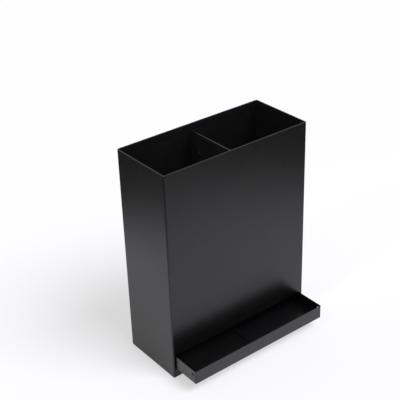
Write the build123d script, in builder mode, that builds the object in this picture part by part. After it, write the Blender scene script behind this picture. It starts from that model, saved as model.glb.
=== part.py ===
from build123d import *
import os

# Umbrella stand: a slim open box of bent sheet steel, divided into a long well and a compact well
# with a raised floor, over a drip tray that draws out at the front.
# Millimetres, +Z up, front towards -Y. The feet stand on Z = 0, and the stand with its tray drawn out
# is centred on the origin.

# Body shell
body_width = 305.0
body_depth = 130.0
overall_height = 400.0
sheet = 0.8  # thickness of the steel sheet
bend_inside = 1.7  # inside radius of the bends
hem_gap = 0.4  # slit left inside the folded rim
hem_depth = 10.0  # how far the folded rim reaches down inside the walls
hem_notch = 4.0  # each leaf of the folded rim stops this short of a corner
hem_end = 0.5  # straight end of the folded rim past the back bends
return_width = 12.0  # flanges of the side walls that carry the back panel
panel_gap = 0.3  # from the back panel to the ends of the folded rim beside it and the flanges under its fold
corner_return = 3.2  # front wall left standing on each side of the tray slot
slot_round = 1.5

# Base plate and rubber feet
base_rise = 18.0  # top of the base plate above the lower edge of the shell
base_gap = 0.3  # between the ends of the base plate and the bends of the corners
sill_gap = 0.3  # between the front sill and the corners beside it
lip_width = 20.0  # lips turned in under the base plate, which carry the feet
foot_end_inset = 18.0  # foot centre from the end of the lip
foot_height = 2.0
foot_diameter = 14.0
stem_diameter = 5.6
stem_clearance = 0.2
collar_diameter = 7.4  # collar above the lip, which keeps the foot in its hole
collar_height = 2.4

# Divider
divider_hem_gap = 3.0  # top of the divider below the folded rim
divider_fold = 8.0  # how far the folded top edge reaches down
fold_relief = 1.0  # between the folded top edge and the end flanges below it
divider_flange = 12.0
divider_lift = 3.0  # lower edge of the divider above the tray slot
flange_round = 4.0

# Shelf of the compact well
shelf_drop = 160.0  # shelf below the rim
shelf_flange = 14.0
shelf_end_gap = 1.5  # between the shelf's end flanges and the flanges beside them
leg_end_gap = 4.0  # between the upright leg of the shelf and the front and back walls
leg_round = 8.0
drain_diameter = 10.0
drain_pitch = 36.0
drain_columns = 3
drain_rows = 2

# Rivets that hang the shelf on the divider
rivet_drop = 37.5  # below the top of the divider
rivet_wall_inset = 22.5  # from the inside of the front and back walls
rivet_edge = 12.0  # leg of the shelf above the rivets
rivet_diameter = 4.0
rivet_clearance = 0.1
rivet_head_diameter = 8.0
rivet_head_height = 1.2
rivet_bulb_diameter = 5.6
rivet_bulb_height = 2.6

# Drip tray
tray_pull = 56.0  # how far the tray is drawn out
tray_height = 26.6
tray_glide = 0.2  # under the tray
tray_side_gap = 1.55  # between the tray and each side of its slot
tray_top_gap = 2.0  # between the tray and the top of its slot
tray_stop_gap = 0.4  # behind the tray when it is pushed in flush
tray_corner = 2.2
tray_bend = 1.8
edge_break = 0.2  # bevels along both edges of the tray's rim
bead_width = 9.0
bead_height = 2.5
bead_draft = 35.0  # degrees by which the sides of the bead lean in
bead_end_gap = 12.0  # between the ends of the bead and the tray walls
hang_hole_diameter = 5.0
hang_hole_setback = 7.0  # behind the tray's front face
hang_hole_rise = 18.0  # above the tray's underside

# Places worked out from the sizes above
bend_outside = bend_inside + sheet
rim_thickness = 2 * sheet + hem_gap
rim_round = 0.49 * rim_thickness
half_width = body_width / 2
inner_half = half_width - sheet
front_y = (tray_pull - body_depth) / 2
back_y = front_y + body_depth
front_inside = front_y + sheet
back_inside = back_y - sheet
return_inside = back_inside - sheet
shell_bottom = foot_height
rim_top = overall_height
wall_top = rim_top - rim_thickness / 2
leaf_bottom = rim_top - hem_depth
base_top = shell_bottom + base_rise
tray_bottom = base_top + tray_glide
tray_top = tray_bottom + tray_height
slot_top = tray_top + tray_top_gap
slot_half = half_width - corner_return
divider_top = leaf_bottom - divider_hem_gap
divider_bottom = slot_top + divider_lift
shelf_top = rim_top - shelf_drop
rivet_z = divider_top - rivet_drop
rivet_places = (front_inside + rivet_wall_inset, back_inside - rivet_wall_inset)


def bent_strip(points, radius, thickness=sheet, side=Side.LEFT):
    # Section of a bent sheet: a line through the points with rounded bends, thickened to one side
    with BuildSketch() as strip:
        with BuildLine():
            FilletPolyline(*points, radius=radius)
            offset(amount=thickness, side=side)
        make_face()
    return strip.sketch


# Front and both side walls, bent from one sheet, with a folded rim, flanges at the back and the tray slot
with BuildPart() as body_wrap:
    with BuildSketch(Plane.XY.offset(shell_bottom)):
        wrap_line = (
            (-half_width + return_width, back_inside),
            (-half_width, back_inside),
            (-half_width, front_y),
            (half_width, front_y),
            (half_width, back_inside),
            (half_width - return_width, back_inside),
        )
        add(bent_strip(wrap_line, bend_outside))
    extrude(amount=wall_top - shell_bottom)
    # Flanges end just below the fold of the back panel's rim
    flange_flat = return_width - bend_outside
    with BuildSketch(Plane.XY.offset(wall_top - panel_gap)):
        with Locations((0, back_inside - sheet / 2)):
            with GridLocations(body_width - return_width - bend_outside, 0, 2, 1):
                Rectangle(flange_flat, sheet)
    extrude(until=Until.LAST, mode=Mode.SUBTRACT)
    # Rounded crown of the folded rim, carried round all four bends
    with BuildSketch(Plane.XY.offset(wall_top)):
        rim_line = (
            (-half_width + bend_outside + hem_end, back_inside),
            *wrap_line[1:5],
            (half_width - bend_outside - hem_end, back_inside),
        )
        add(bent_strip(rim_line, bend_outside, rim_thickness))
    extrude(amount=rim_thickness / 2)
    crown_edges = body_wrap.faces().sort_by(Axis.Z)[-1].edges()
    crown_ends = crown_edges.filter_by(Axis.Y).group_by(SortBy.LENGTH)[0]
    fillet(crown_edges - crown_ends, radius=rim_round)
    # Leaves of the folded rim, one inside each wall
    leaf_length = body_depth - sheet - bend_outside - hem_notch
    with BuildSketch(Plane.XY.offset(leaf_bottom)):
        with Locations((0, front_y + rim_thickness - sheet / 2)):
            Rectangle(body_width - 2 * hem_notch, sheet)
        with Locations((0, front_y + hem_notch + leaf_length / 2)):
            with GridLocations(body_width - 2 * rim_thickness + sheet, 0, 2, 1):
                Rectangle(sheet, leaf_length)
    extrude(amount=wall_top - leaf_bottom)
    # Tray slot, open downwards
    with BuildSketch(Plane.XZ.offset(-front_y)) as slot:
        with Locations((0, shell_bottom)):
            Rectangle(2 * slot_half, slot_top - shell_bottom, align=(Align.CENTER, Align.MIN))
        fillet(slot.vertices().group_by(Axis.Y)[-1], radius=slot_round)
    extrude(amount=-bend_outside, mode=Mode.SUBTRACT)

# Back panel with its own folded rim, welded over the flanges of the side walls
with BuildPart() as back_panel:
    with BuildSketch(Plane.YZ):
        panel_line = (
            (back_y, shell_bottom),
            (back_y, rim_top),
            (back_y - rim_thickness, rim_top),
            (back_y - rim_thickness, leaf_bottom),
        )
        add(bent_strip(panel_line, rim_round))
    panel_half = half_width - bend_outside - hem_end - panel_gap
    extrude(amount=panel_half, both=True)
    # Leaf of the folded rim, notched at both ends for the flanges
    leaf_notch = return_width - bend_outside - hem_end
    with BuildSketch(Plane.XY.offset(leaf_bottom)):
        with Locations((0, back_y - rim_thickness + sheet / 2)):
            with GridLocations(2 * panel_half - leaf_notch, 0, 2, 1):
                Rectangle(leaf_notch, sheet)
    extrude(amount=wall_top - leaf_bottom, mode=Mode.SUBTRACT)

# Base plate under the tray: sides turned down and in as lips, front turned down as a sill
foot_half_x = inner_half - lip_width / 2
base_front = front_y + bend_outside + base_gap
base_back = back_inside - bend_outside - base_gap
base_middle = (base_front + base_back) / 2
foot_half_y = (base_back - base_front) / 2 - foot_end_inset
with BuildPart() as base_plate:
    with BuildSketch(Plane.XZ.offset(-base_back)):
        base_line = (
            (-inner_half + lip_width, shell_bottom),
            (-inner_half, shell_bottom),
            (-inner_half, base_top),
            (inner_half, base_top),
            (inner_half, shell_bottom),
            (inner_half - lip_width, shell_bottom),
        )
        add(bent_strip(base_line, bend_outside, side=Side.RIGHT))
    extrude(amount=base_back - base_front)
    with BuildSketch(Plane.YZ):
        sill_line = (
            (base_front + bend_outside, base_top),
            (front_y, base_top),
            (front_y, shell_bottom),
        )
        add(bent_strip(sill_line, bend_outside))
    extrude(amount=slot_half - sill_gap, both=True)
    with BuildSketch(Plane.XY.offset(shell_bottom)):
        with Locations((0, base_middle)):
            with GridLocations(2 * foot_half_x, 2 * foot_half_y, 2, 2):
                Circle(stem_diameter / 2 + stem_clearance)
    extrude(amount=sheet, mode=Mode.SUBTRACT)

# Divider between the two wells, with a folded top edge and end flanges turned towards the compact well
divider_left = -sheet / 2
fold_bottom = divider_top - divider_fold
with BuildPart() as divider:
    with BuildSketch(Plane.XY.offset(divider_bottom)):
        divider_line = (
            (divider_left + divider_flange, front_inside),
            (divider_left, front_inside),
            (divider_left, back_inside),
            (divider_left + divider_flange, back_inside),
        )
        add(bent_strip(divider_line, bend_outside, side=Side.RIGHT))
    extrude(amount=fold_bottom - fold_relief - divider_bottom)
    flange_corners = divider.edges().filter_by(Axis.Y).group_by(SortBy.LENGTH)[0]
    fillet(flange_corners, radius=flange_round)
    with BuildSketch(Plane.XZ.offset(-front_inside - bend_outside)):
        fold_line = (
            (divider_left, divider_bottom),
            (divider_left, divider_top),
            (divider_left + rim_thickness, divider_top),
            (divider_left + rim_thickness, fold_bottom),
        )
        add(bent_strip(fold_line, rim_round, side=Side.RIGHT))
    extrude(amount=-(back_inside - front_inside - 2 * bend_outside))
    with BuildSketch(Plane.YZ.offset(divider_left)):
        with Locations(*[(rivet_y, rivet_z) for rivet_y in rivet_places]):
            Circle(rivet_diameter / 2 + rivet_clearance)
    extrude(amount=sheet, mode=Mode.SUBTRACT)

# Shelf of the compact well: an upright leg on the divider and flanges turned down along the walls
shelf_left = sheet / 2
shelf_underside = shelf_top - sheet
flange_bottom = shelf_top - shelf_flange
shelf_middle_y = (front_inside + back_inside) / 2
leg_length = back_inside - front_inside - 2 * leg_end_gap
end_left = divider_left + divider_flange + shelf_end_gap
end_right = half_width - return_width - shelf_end_gap
with BuildPart() as compact_shelf:
    with BuildSketch(Plane.XZ.offset(-shelf_middle_y)):
        leg_line = (
            (shelf_left, rivet_z + rivet_edge),
            (shelf_left, shelf_underside),
            (inner_half - sheet, shelf_underside),
            (inner_half - sheet, flange_bottom),
        )
        add(bent_strip(leg_line, (bend_outside, bend_inside)))
    extrude(amount=leg_length / 2, both=True)
    leg_corners = compact_shelf.edges().filter_by(Axis.X).group_by(Axis.Z)[-1]
    fillet(leg_corners, radius=leg_round)
    with BuildSketch(Plane.YZ.offset(end_left)):
        flange_line = (
            (front_inside, flange_bottom),
            (front_inside, shelf_top),
            (back_inside, shelf_top),
            (back_inside, flange_bottom),
        )
        add(bent_strip(flange_line, bend_outside, side=Side.RIGHT))
    extrude(amount=end_right - end_left)
    with BuildSketch(Plane.XY.offset(shelf_underside)):
        with Locations(((end_left + end_right) / 2, shelf_middle_y)):
            with GridLocations(drain_pitch, drain_pitch, drain_columns, drain_rows):
                Circle(drain_diameter / 2)
    extrude(amount=sheet, mode=Mode.SUBTRACT)
    with BuildSketch(Plane.YZ.offset(shelf_left)):
        with Locations(*[(rivet_y, rivet_z) for rivet_y in rivet_places]):
            Circle(rivet_diameter / 2 + rivet_clearance)
    extrude(amount=sheet, mode=Mode.SUBTRACT)

# Blind rivets: domed head in the long well, bulb behind the leg of the shelf
grip_start = divider_left
grip_end = shelf_left + sheet
head_radius = rivet_head_diameter / 2
dome_radius = (head_radius**2 + rivet_head_height**2) / (2 * rivet_head_height)
with BuildPart() as divider_rivets:
    for rivet_y in rivet_places:
        rivet_plane = Plane(origin=(0, rivet_y, rivet_z), x_dir=(1, 0, 0), z_dir=(0, -1, 0))
        with BuildSketch(rivet_plane):
            with BuildLine():
                RadiusArc((grip_start - rivet_head_height, 0), (grip_start, head_radius), dome_radius)
                bulb_end = grip_end + rivet_bulb_height
                Polyline(
                    (grip_start, head_radius),
                    (grip_start, rivet_diameter / 2),
                    (grip_end, rivet_diameter / 2),
                    (grip_end, rivet_bulb_diameter / 2),
                    (bulb_end, rivet_bulb_diameter / 2),
                    (bulb_end, 0),
                    (grip_start - rivet_head_height, 0),
                )
            make_face()
        revolve(axis=Axis((0, rivet_y, rivet_z), (1, 0, 0)))

# Drip tray: a pan with rounded corners, a bead pressed up along its middle and a hole in each side
tray_width = 2 * (slot_half - tray_side_gap)
tray_depth = return_inside - tray_stop_gap - front_y
tray_front = front_y - tray_pull
tray_middle = tray_front + tray_depth / 2
bead_length = tray_depth - 2 * sheet - 2 * bead_end_gap
with BuildPart() as drip_tray:
    with BuildSketch(Plane.XY.offset(tray_bottom)):
        with Locations((0, tray_middle)):
            RectangleRounded(tray_width, tray_depth, tray_corner)
    extrude(amount=tray_height)
    fillet(drip_tray.faces().sort_by(Axis.Z)[0].edges(), radius=tray_bend)
    offset(amount=-sheet, openings=drip_tray.faces().sort_by(Axis.Z)[-1])
    chamfer(drip_tray.faces().sort_by(Axis.Z)[-1].edges(), length=edge_break)
    with BuildSketch(Plane.XY.offset(tray_bottom + sheet)):
        with Locations((0, tray_middle)):
            SlotOverall(bead_length, bead_width, rotation=90)
    extrude(amount=bead_height, taper=bead_draft)
    with BuildSketch(Plane.XY.offset(tray_bottom)):
        with Locations((0, tray_middle)):
            SlotOverall(bead_length - sheet, bead_width - sheet, rotation=90)
    extrude(amount=bead_height, taper=bead_draft, mode=Mode.SUBTRACT)
    with BuildSketch(Plane.YZ):
        with Locations((tray_front + hang_hole_setback, tray_bottom + hang_hole_rise)):
            Circle(hang_hole_diameter / 2)
    extrude(amount=half_width, both=True, mode=Mode.SUBTRACT)

# Push-in rubber feet, one at each end of each lip
stem_top = foot_height + sheet
feet = {}
for side_name, side_x in (("left", -foot_half_x), ("right", foot_half_x)):
    for end_name, end_y in (("front", base_middle - foot_half_y), ("back", base_middle + foot_half_y)):
        with BuildPart() as foot:
            foot_plane = Plane(origin=(side_x, end_y, 0), x_dir=(1, 0, 0), z_dir=(0, -1, 0))
            with BuildSketch(foot_plane):
                with BuildLine():
                    Polyline(
                        (0, 0),
                        (foot_diameter / 2, 0),
                        (foot_diameter / 2, foot_height),
                        (stem_diameter / 2, foot_height),
                        (stem_diameter / 2, stem_top),
                        (collar_diameter / 2, stem_top),
                        (collar_diameter / 2, stem_top + collar_height),
                        (0, stem_top + collar_height),
                        close=True,
                    )
                make_face()
            revolve(axis=Axis((side_x, end_y, 0), (0, 0, 1)))
        feet[f"foot_{end_name}_{side_name}"] = foot

# One file for each piece
pieces = {
    "body_wrap": body_wrap,
    "back_panel": back_panel,
    "base_plate": base_plate,
    "divider": divider,
    "compact_shelf": compact_shelf,
    "divider_rivets": divider_rivets,
    "drip_tray": drip_tray,
    **feet,
}
os.makedirs("parts", exist_ok=True)
for piece_name, piece in pieces.items():
    piece.part.label = piece_name
    export_step(piece.part, f"parts/{piece_name}.step")
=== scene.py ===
import math

import bmesh
import bpy
from mathutils import Matrix, Vector


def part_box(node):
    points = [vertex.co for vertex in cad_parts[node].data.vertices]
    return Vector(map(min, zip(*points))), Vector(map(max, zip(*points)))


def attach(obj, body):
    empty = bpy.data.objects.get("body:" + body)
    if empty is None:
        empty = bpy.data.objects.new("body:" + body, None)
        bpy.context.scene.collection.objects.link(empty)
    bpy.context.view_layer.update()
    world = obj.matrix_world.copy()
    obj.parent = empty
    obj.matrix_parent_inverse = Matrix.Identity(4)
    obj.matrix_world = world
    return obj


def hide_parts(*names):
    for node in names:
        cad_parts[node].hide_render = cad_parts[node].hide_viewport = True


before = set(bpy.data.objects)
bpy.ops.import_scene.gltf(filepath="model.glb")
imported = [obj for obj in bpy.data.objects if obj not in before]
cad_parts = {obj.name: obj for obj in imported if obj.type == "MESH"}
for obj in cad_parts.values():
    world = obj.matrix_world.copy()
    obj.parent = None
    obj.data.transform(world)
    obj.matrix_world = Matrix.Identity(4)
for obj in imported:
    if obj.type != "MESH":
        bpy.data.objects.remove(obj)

scene = bpy.context.scene
scene.view_settings.view_transform = "Standard"
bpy.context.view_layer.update()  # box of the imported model, before anything is added


# Small helpers for the node trees

def startMaterial(name):
    material = bpy.data.materials.new(name)
    material.use_nodes = True
    tree = material.node_tree
    return material, tree, tree.nodes["Principled BSDF"]


def addNode(tree, kind, inputs=None, **options):
    node = tree.nodes.new(kind)
    for name, value in options.items():
        setattr(node, name, value)
    for name, value in (inputs or {}).items():
        node.inputs[name].default_value = value
    return node


def objectPlace(tree):
    return addNode(tree, "ShaderNodeTexCoord").outputs["Object"]


def noiseOf(tree, place, size, detail=2.0):
    # noise with patches about size metres across
    noise = addNode(tree, "ShaderNodeTexNoise", {"Scale": 1 / size, "Detail": detail})
    tree.links.new(place, noise.inputs["Vector"])
    return noise.outputs["Fac"]


def remap(tree, value, fromLow, fromHigh, toLow, toHigh, kind="LINEAR"):
    limits = {"From Min": fromLow, "From Max": fromHigh, "To Min": toLow, "To Max": toHigh}
    node = addNode(tree, "ShaderNodeMapRange", limits, interpolation_type=kind)
    tree.links.new(value, node.inputs["Value"])
    return node.outputs["Result"]


def calc(tree, operation, first, second):
    node = addNode(tree, "ShaderNodeMath", operation=operation)
    for socket, value in zip(node.inputs, (first, second)):
        if isinstance(value, (int, float)):
            socket.default_value = value
        else:
            tree.links.new(value, socket)
    return node.outputs["Value"]


def mixColours(tree, factor, first, second):
    node = addNode(tree, "ShaderNodeMix", data_type="RGBA")
    tree.links.new(factor, node.inputs["Factor"])
    for socket, value in zip((node.inputs[6], node.inputs[7]), (first, second)):  # its two colour sockets
        if isinstance(value, tuple):
            socket.default_value = (*value, 1)
        else:
            tree.links.new(value, socket)
    return node.outputs[2]  # the mixed colour


def bumpOf(tree, height, depth, under=None):
    # height runs from 0 to 1 and stands depth metres high
    node = addNode(tree, "ShaderNodeBump", {"Strength": 1.0, "Distance": depth})
    tree.links.new(height, node.inputs["Height"])
    if under is not None:
        tree.links.new(under, node.inputs["Normal"])
    return node.outputs["Normal"]


# Black powder coat: fine grain, orange peel and a slow wave of the sheet

coat = {
    "deep": (0.0008, 0.0008, 0.0009),
    "pale": (0.0018, 0.0018, 0.0020),
    "wellDeep": (0.0040, 0.0040, 0.0042),  # painted light: paler within the wells, standing in for light that reaches into them
    "wellPale": (0.0068, 0.0068, 0.0072),
    "ior": 1.5,
    "patchSize": 0.045,
    "patchShare": 0.5,  # of the patches in the tone, the rest is grain
    "toneSpan": (0.35, 0.65),  # the part of the noise that is spread from deep to pale
    "grainSize": 0.0007,
    "grainDepth": 0.000010,
    "peelSize": 0.0024,
    "peelDepth": 0.000030,
    "waveSize": 0.16,
    "waveDepth": 0.0003,
    "smooth": 0.16,
    "rough": 0.46,
    "roughSpan": (0.3, 0.7),  # the part of the grain that is spread from smooth to rough
}


def paintedLightInWells(tree, place):
    # one on the faces that the two wells show, between the walls and above the tray, where the coat is
    # painted paler as painted light
    low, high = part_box("body_wrap")
    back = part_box("back_panel")[1].y
    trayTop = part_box("drip_tray")[1].z
    middle = Vector((0, (low.y + back) / 2, (trayTop + high.z) / 2))
    reach = Vector((high.x, (back - low.y) / 2, (high.z - trayTop) / 2))
    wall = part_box("base_plate")[0].x - low.x  # thickness of the sheet
    away = addNode(tree, "ShaderNodeVectorMath", operation="SUBTRACT")
    size = addNode(tree, "ShaderNodeVectorMath", operation="ABSOLUTE")
    split = addNode(tree, "ShaderNodeSeparateXYZ")
    tree.links.new(place, away.inputs[0])
    away.inputs[1].default_value = middle
    tree.links.new(away.outputs["Vector"], size.inputs[0])
    tree.links.new(size.outputs["Vector"], split.inputs["Vector"])
    across, deep, tall = [calc(tree, "LESS_THAN", split.outputs[axis], limit - wall / 2)
                          for axis, limit in zip("XYZ", reach)]
    return calc(tree, "MULTIPLY", across, calc(tree, "MULTIPLY", deep, tall))


def powderCoat(name, look):
    material, tree, shader = startMaterial(name)
    place = objectPlace(tree)
    patches = noiseOf(tree, place, look["patchSize"], detail=3.0)
    grain = noiseOf(tree, place, look["grainSize"])
    peel = noiseOf(tree, place, look["peelSize"], detail=1.0)
    wave = noiseOf(tree, place, look["waveSize"], detail=0.0)
    patchPart = calc(tree, "MULTIPLY", patches, look["patchShare"])
    grainPart = calc(tree, "MULTIPLY", grain, 1 - look["patchShare"])
    tone = remap(tree, calc(tree, "ADD", patchPart, grainPart), *look["toneSpan"], 0, 1)
    outside = mixColours(tree, tone, look["deep"], look["pale"])
    # painted light: the paler copy of the coat for the faces within the wells
    paintedWellColour = mixColours(tree, tone, look["wellDeep"], look["wellPale"])
    colour = mixColours(tree, paintedLightInWells(tree, place), outside, paintedWellColour)
    roughness = remap(tree, grain, *look["roughSpan"], look["smooth"], look["rough"])
    normal = bumpOf(tree, wave, look["waveDepth"])
    normal = bumpOf(tree, peel, look["peelDepth"], normal)
    normal = bumpOf(tree, grain, look["grainDepth"], normal)
    tree.links.new(colour, shader.inputs["Base Color"])
    tree.links.new(roughness, shader.inputs["Roughness"])
    tree.links.new(normal, shader.inputs["Normal"])
    shader.inputs["IOR"].default_value = look["ior"]
    return material


# Dark steel of the blind rivets

rivetSteel = {
    "deep": (0.030, 0.030, 0.032),
    "pale": (0.075, 0.075, 0.078),
    "speckSize": 0.0009,
    "toneSpan": (0.35, 0.65),
    "smooth": 0.28,
    "rough": 0.50,
    "roughSpan": (0.3, 0.7),
    "depth": 0.000015,
    "metal": 0.9,
}


def darkSteel(name, look):
    material, tree, shader = startMaterial(name)
    specks = noiseOf(tree, objectPlace(tree), look["speckSize"], detail=3.0)
    colour = mixColours(tree, remap(tree, specks, *look["toneSpan"], 0, 1), look["deep"], look["pale"])
    roughness = remap(tree, specks, *look["roughSpan"], look["smooth"], look["rough"])
    tree.links.new(colour, shader.inputs["Base Color"])
    tree.links.new(roughness, shader.inputs["Roughness"])
    tree.links.new(bumpOf(tree, specks, look["depth"]), shader.inputs["Normal"])
    shader.inputs["Metallic"].default_value = look["metal"]
    return material


# Rubber of the feet

footRubber = {
    "deep": (0.012, 0.012, 0.012),
    "pale": (0.028, 0.027, 0.026),
    "speckSize": 0.0006,
    "dustSize": 0.004,
    "dustSpan": (0.4, 0.7),
    "smooth": 0.62,
    "rough": 0.85,
    "roughSpan": (0.3, 0.7),
    "depth": 0.00004,
}


def mouldedRubber(name, look):
    material, tree, shader = startMaterial(name)
    place = objectPlace(tree)
    specks = noiseOf(tree, place, look["speckSize"])
    dust = noiseOf(tree, place, look["dustSize"], detail=3.0)
    colour = mixColours(tree, remap(tree, dust, *look["dustSpan"], 0, 1), look["deep"], look["pale"])
    roughness = remap(tree, specks, *look["roughSpan"], look["smooth"], look["rough"])
    tree.links.new(colour, shader.inputs["Base Color"])
    tree.links.new(roughness, shader.inputs["Roughness"])
    tree.links.new(bumpOf(tree, specks, look["depth"]), shader.inputs["Normal"])
    return material


# The tray is coated apart from the stand and is a little glossier; its colour is painted paler, as painted
# light that brightens its shaded floor and walls
trayCoatWithPaintedLight = {**coat, "deep": (0.0028, 0.0028, 0.0030), "pale": (0.0050, 0.0050, 0.0054), "ior": 1.54}

finishes = {
    "coated_steel": powderCoat("blackPowderCoat", coat),
    "rivet": darkSteel("darkRivetSteel", rivetSteel),
    "foot_rubber": mouldedRubber("footRubber", footRubber),
}
# the tray's coat, painted paler as painted light
trayFinishWithPaintedLight = powderCoat("trayPowderCoat", trayCoatWithPaintedLight)


def finishOf(nodeName):
    if nodeName == "drip_tray":
        return trayFinishWithPaintedLight
    if nodeName.startswith("foot_"):
        return finishes["foot_rubber"]
    if nodeName == "divider_rivets":
        return finishes["rivet"]
    return finishes["coated_steel"]


for nodeName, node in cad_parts.items():
    node.data.materials.clear()
    node.data.materials.append(finishOf(nodeName))
print("finishes set on", len(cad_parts), "nodes")


# Spun pieces that stand for plain solids of the frame

spun = {
    "steps": 64,  # round the axis
    "roundSteps": 5,  # along each rounded corner
    "merge": 1e-6,
    "sharp": 40,  # degrees between faces that meet in a hard edge
}


def spunSolid(outline, rounds):
    # outline runs as (radius, height) from the axis out and back to the axis, rounds gives corners a radius
    mesh = bmesh.new()
    corners = [mesh.verts.new((radius, 0, height)) for radius, height in outline]
    for pair in zip(corners, corners[1:]):
        mesh.edges.new(pair)
    for index, radius in rounds.items():
        bmesh.ops.bevel(mesh, geom=[corners[index]], offset=radius, offset_type="OFFSET",
                        segments=spun["roundSteps"], profile=0.5, affect="VERTICES", material=-1)
    bmesh.ops.spin(mesh, geom=[*mesh.verts, *mesh.edges], cent=(0, 0, 0), axis=(0, 0, 1), dvec=(0, 0, 0),
                   angle=math.tau, steps=spun["steps"], use_merge=True)
    bmesh.ops.remove_doubles(mesh, verts=mesh.verts, dist=spun["merge"])
    bmesh.ops.recalc_face_normals(mesh, faces=mesh.faces)
    return mesh


def newPiece(name, mesh, slotName, bodyName):
    data = bpy.data.meshes.new(name)
    mesh.to_mesh(data)
    mesh.free()
    data.shade_smooth()
    data.set_sharp_from_angle(angle=math.radians(spun["sharp"]))
    data.materials.append(finishes[slotName])
    piece = bpy.data.objects.new(name, data)
    scene.collection.objects.link(piece)
    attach(piece, bodyName)
    return piece


# Rubber feet: a dished tread under a round pad, a neck in the hole of the lip and a snap collar above it
foot = {
    "sheet": 0.0008,  # thickness of the lip that the neck passes through
    "neckRadius": 0.0028,
    "collarRadius": 0.0037,
    "dishRadius": 0.0040,
    "dishSlope": 0.0007,
    "dishDepth": 0.0004,
    "padRound": 0.0006,
    "collarRound": 0.0010,
}


def rubberFoot(nodeName, look):
    low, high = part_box(nodeName)
    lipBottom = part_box("base_plate")[0].z
    lipTop = lipBottom + look["sheet"]
    padRadius = (high.x - low.x) / 2
    outline = [
        (0, look["dishDepth"]),
        (look["dishRadius"], look["dishDepth"]),
        (look["dishRadius"] + look["dishSlope"], low.z),
        (padRadius, low.z),
        (padRadius, lipBottom),
        (look["neckRadius"], lipBottom),
        (look["neckRadius"], lipTop),
        (look["collarRadius"], lipTop),
        (look["collarRadius"], high.z),
        (0, high.z),
    ]
    mesh = spunSolid(outline, {3: look["padRound"], 8: look["collarRound"]})
    bmesh.ops.translate(mesh, verts=mesh.verts, vec=((low.x + high.x) / 2, (low.y + high.y) / 2, 0))
    words = nodeName.split("_")
    pieceName = words[0] + "".join(word.capitalize() for word in words[1:])
    piece = newPiece(pieceName, mesh, "foot_rubber", "body")
    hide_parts(nodeName)


for nodeName in [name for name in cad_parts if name.startswith("foot_")]:
    rubberFoot(nodeName, foot)
print("feet made")


# Blind rivets: a low dome with the snapped pin sunk in its middle, and a swollen sleeve behind the leg
rivet = {
    "grip": 0.0016,  # divider and leg together
    "shankRadius": 0.0020,
    "bulbRadius": 0.0028,
    "bulbRound": 0.0011,
    "pinRadius": 0.00085,
    "pinDepth": 0.00035,
    "boreRadius": 0.0011,
    "boreDepth": 0.0007,
    "crownRadius": 0.0024,
    "crownRound": 0.0013,
    "edgeHeight": 0.0003,
    "edgeRound": 0.00015,
}


def blindRivets(look):
    low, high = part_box("divider_rivets")
    headRadius = (high.z - low.z) / 2
    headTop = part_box("divider")[0].x - low.x
    bulbEnd = high.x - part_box("divider")[0].x
    outline = [
        (0, headTop - look["pinDepth"]),
        (look["pinRadius"], headTop - look["pinDepth"]),
        (look["pinRadius"], headTop - look["boreDepth"]),
        (look["boreRadius"], headTop - look["boreDepth"]),
        (look["boreRadius"], headTop),
        (look["crownRadius"], headTop),
        (headRadius, look["edgeHeight"]),
        (headRadius, 0),
        (look["shankRadius"], 0),
        (look["shankRadius"], -look["grip"]),
        (look["bulbRadius"], -look["grip"]),
        (look["bulbRadius"], -bulbEnd),
        (0, -bulbEnd),
    ]
    mesh = spunSolid(outline, {5: look["crownRound"], 6: look["edgeRound"], 11: look["bulbRound"]})
    # the head faces the long well, on the divider's left
    bmesh.ops.rotate(mesh, verts=mesh.verts, cent=(0, 0, 0), matrix=Matrix.Rotation(-math.pi / 2, 3, "Y"))
    seat = Vector((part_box("divider")[0].x, low.y + headRadius, (low.z + high.z) / 2))
    bmesh.ops.translate(mesh, verts=mesh.verts, vec=seat)
    twin = bmesh.ops.duplicate(mesh, geom=[*mesh.verts, *mesh.edges, *mesh.faces])["geom"]
    bmesh.ops.translate(mesh, verts=[part for part in twin if isinstance(part, bmesh.types.BMVert)],
                        vec=(0, high.y - low.y - 2 * headRadius, 0))
    piece = newPiece("dividerRivets", mesh, "rivet", "body")
    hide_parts("divider_rivets")


blindRivets(rivet)
print("rivets made")


# Stage: a pale floor that keeps the shadow, a white world and soft lamps

def stagePiece(name, mesh, material):
    data = bpy.data.meshes.new(name)
    mesh.to_mesh(data)
    mesh.free()
    piece = bpy.data.objects.new(name, data)
    scene.collection.objects.link(piece)
    data.materials.append(material)
    return piece


def seenRays(tree, straight=1.0, gloss=1.0):
    # for rays that show the background: straight from the camera or through glass, and in gloss
    path = addNode(tree, "ShaderNodeLightPath").outputs
    clear = calc(tree, "MAXIMUM", path["Is Camera Ray"], path["Is Transmission Ray"])
    mirrored = calc(tree, "MULTIPLY", path["Is Glossy Ray"], gloss)
    return calc(tree, "MAXIMUM", calc(tree, "MULTIPLY", clear, straight), mirrored)


floor = {
    "radius": 14.0,
    "segments": 96,
    "drop": 0.0001,  # just under the feet
    "colour": (0.94, 0.94, 0.94),
    "shade": 0.97,  # of that colour in the darker grain
    "grainSize": 0.02,
    "rough": 0.9,
    "specular": 0.1,
    "paper": 0.55,  # share of plain white where it is seen, the rest takes the shadow
    "paperGloss": 0.4,  # the same in gloss
    "white": 1.0,
}


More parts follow.
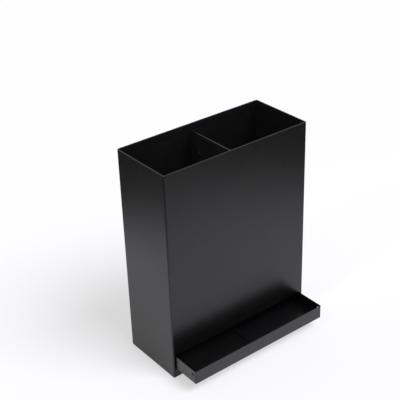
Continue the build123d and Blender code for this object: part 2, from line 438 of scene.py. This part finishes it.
def paleFloor(look):
    material, tree, shader = startMaterial("paleFloor")
    grain = noiseOf(tree, objectPlace(tree), look["grainSize"])
    shade = tuple(look["shade"] * value for value in look["colour"])
    tree.links.new(mixColours(tree, grain, shade, look["colour"]), shader.inputs["Base Color"])
    shader.inputs["Roughness"].default_value = look["rough"]
    shader.inputs["Specular IOR Level"].default_value = look["specular"]
    glow = addNode(tree, "ShaderNodeEmission", {"Strength": look["white"]})
    blend = addNode(tree, "ShaderNodeMixShader")
    tree.links.new(seenRays(tree, look["paper"], look["paperGloss"]), blend.inputs["Fac"])
    tree.links.new(shader.outputs["BSDF"], blend.inputs[1])
    tree.links.new(glow.outputs["Emission"], blend.inputs[2])
    tree.links.new(blend.outputs["Shader"], tree.nodes["Material Output"].inputs["Surface"])
    disc = bmesh.new()
    bmesh.ops.create_circle(disc, cap_ends=True, segments=look["segments"], radius=look["radius"])
    bmesh.ops.translate(disc, verts=disc.verts, vec=(0, 0, -look["drop"]))
    stagePiece("floor", disc, material)


# Dark card round the pale floor, seen only in gloss: the coat darkens towards its top, where it mirrors it
surround = {
    "inner": 0.20,
    "outer": 4.0,
    "centre": (0.03, 0.0, 0.0),
    "start": 0.45,  # from the centre to where it sets in
    "end": 0.80,  # and to where it is full
    "density": 0.96,
    "side": (-0.61, -0.79, 0.0),  # it is thick towards the front left and thin behind
    "sideStart": -0.8,
    "sideEnd": -0.4,
    "behind": 0.35,  # share of the density that is left there
    "height": 0.0005,
    "colour": (0.01, 0.01, 0.01),
    "rough": 1.0,
    "segments": 96,
}


def darkSurround(look):
    material, tree, shader = startMaterial("darkSurround")
    offset = addNode(tree, "ShaderNodeVectorMath", operation="SUBTRACT")
    distance = addNode(tree, "ShaderNodeVectorMath", operation="LENGTH")
    tree.links.new(objectPlace(tree), offset.inputs[0])
    offset.inputs[1].default_value = look["centre"]
    tree.links.new(offset.outputs["Vector"], distance.inputs["Vector"])
    reach = distance.outputs["Value"]
    along = addNode(tree, "ShaderNodeVectorMath", operation="DOT_PRODUCT")
    tree.links.new(offset.outputs["Vector"], along.inputs[0])
    along.inputs[1].default_value = look["side"]
    lean = calc(tree, "DIVIDE", along.outputs["Value"], reach)  # 1 towards that side, -1 away from it
    density = remap(tree, reach, look["start"], look["end"], 0, look["density"], "SMOOTHSTEP")
    side = remap(tree, lean, look["sideStart"], look["sideEnd"], look["behind"], 1, "SMOOTHSTEP")
    density = calc(tree, "MULTIPLY", density, side)
    shader.inputs["Base Color"].default_value = (*look["colour"], 1)
    shader.inputs["Roughness"].default_value = look["rough"]
    tree.links.new(density, shader.inputs["Alpha"])
    ring = bmesh.new()
    ends = [ring.verts.new((radius, 0, look["height"])) for radius in (look["inner"], look["outer"])]
    edge = ring.edges.new(ends)
    bmesh.ops.spin(ring, geom=[edge, *ends], cent=(0, 0, 0), axis=(0, 0, 1), dvec=(0, 0, 0),
                   angle=math.tau, steps=look["segments"], use_merge=True)
    bmesh.ops.recalc_face_normals(ring, faces=ring.faces)
    card = stagePiece("darkSurround", ring, material)
    card.visible_camera = False
    card.visible_diffuse = False
    card.visible_transmission = False
    card.visible_shadow = False


world = {"daylight": 0.4, "white": 1.0}


def whiteWorld(look):
    room = bpy.data.worlds.new("whiteRoom")
    room.use_nodes = True
    scene.world = room
    tree = room.node_tree
    sky = tree.nodes["Background"]
    sky.inputs["Color"].default_value = (1, 1, 1, 1)
    seen = seenRays(tree)
    tree.links.new(remap(tree, seen, 0, 1, look["daylight"], look["white"]), sky.inputs["Strength"])


# Key lamp from the front right, as broad as a large window
key = {
    "place": (0.5, -1.15, 1.8),
    "aim": (0.0, 0.0, 0.0),
    "strength": 2.9,
    "spread": 35,
    "colour": (0.90, 0.86, 1.0),
}


def aimedLamp(data, look):
    data.energy = look["strength"]
    lamp = bpy.data.objects.new(data.name, data)
    scene.collection.objects.link(lamp)
    lamp.location = look["place"]
    lamp.rotation_mode = "QUATERNION"
    lamp.rotation_quaternion = (Vector(look["aim"]) - Vector(look["place"])).to_track_quat("-Z", "Y")
    return lamp


def softKey(look):
    data = bpy.data.lights.new("softKey", "SUN")
    data.angle = math.radians(look["spread"])
    data.color = look["colour"]
    aimedLamp(data, look).visible_glossy = False  # the coat mirrors the room and the floor, not the lamp


# A narrow lamp from the upper left that reaches the divider's left face in the long well
fill = {
    "place": (-0.66, -0.12, 0.96),
    "aim": (0.0, 0.03, 0.36),
    "strength": 22.0,
    "cone": 22,
    "blend": 1.0,
    "size": 0.10,
}


def wellFill(look):
    data = bpy.data.lights.new("wellFill", "SPOT")
    data.spot_size = math.radians(look["cone"])
    data.spot_blend = look["blend"]
    data.shadow_soft_size = look["size"]
    aimedLamp(data, look)


paleFloor(floor)
darkSurround(surround)
whiteWorld(world)
softKey(key)
wellFill(fill)
print("stage set")


# Camera at the photograph's place

view = {
    "eye": (-0.89144, -1.09931, 1.07857),
    "yaw": 37.276,  # degrees to the right of straight at the front
    "down": 29.188,
    "roll": -1.958,
    "lens": 85.12,
    "sensor": 36.0,
    "clip": 60.0,
}


def photoCamera(look):
    data = bpy.data.cameras.new("photoCamera")
    data.lens = look["lens"]
    data.sensor_width = look["sensor"]
    data.clip_end = look["clip"]
    camera = bpy.data.objects.new("photoCamera", data)
    scene.collection.objects.link(camera)
    turn = Matrix.Rotation(-math.radians(look["yaw"]), 4, "Z")
    tilt = Matrix.Rotation(math.radians(90 - look["down"]), 4, "X")
    roll = Matrix.Rotation(math.radians(look["roll"]), 4, "Z")
    camera.matrix_world = Matrix.Translation(look["eye"]) @ turn @ tilt @ roll
    scene.camera = camera


photoCamera(view)
print("camera set")
